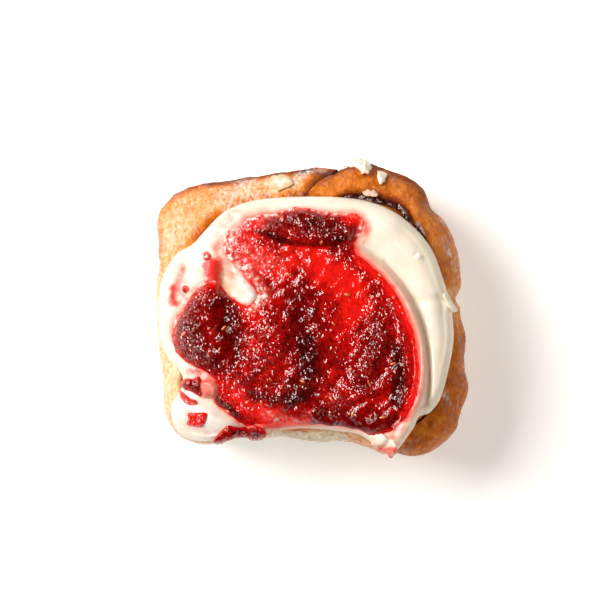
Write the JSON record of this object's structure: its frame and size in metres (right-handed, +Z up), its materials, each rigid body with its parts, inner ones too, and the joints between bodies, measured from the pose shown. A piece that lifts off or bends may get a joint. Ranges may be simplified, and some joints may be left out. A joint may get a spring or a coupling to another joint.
{
  "type": "frosted sweet roll",
  "caption": "Squarish coiled sweet roll of soft dough and berry filling, topped with a swirl of cream cheese frosting and a spread of seedy berry jam.",
  "frame": {"origin": "middle of the roll's footprint, on the surface that it stands on", "axes": "+Z up out of the frosted top, +X along the roll's longer side, +Y towards the side where the coil's loose end shows"},
  "size_m": [0.1055, 0.1002, 0.0578],
  "materials": {
    "crust": "satin",
    "filling": "wet gloss",
    "frosting": "soft satin",
    "jam": "wet gloss"
  },
  "bodies": {
    "root": {"dough_coil": "crust", "berry_filling": "filling", "frosting_swirl": "frosting", "jam_spread": "jam", "jam_drip": "jam", "jam_bit_front": "jam", "jam_bit_left": "jam", "frosting_dab_back": "frosting", "frosting_dab_small": "frosting", "frosting_dab_left": "frosting"}
  },
  "joints": []
}
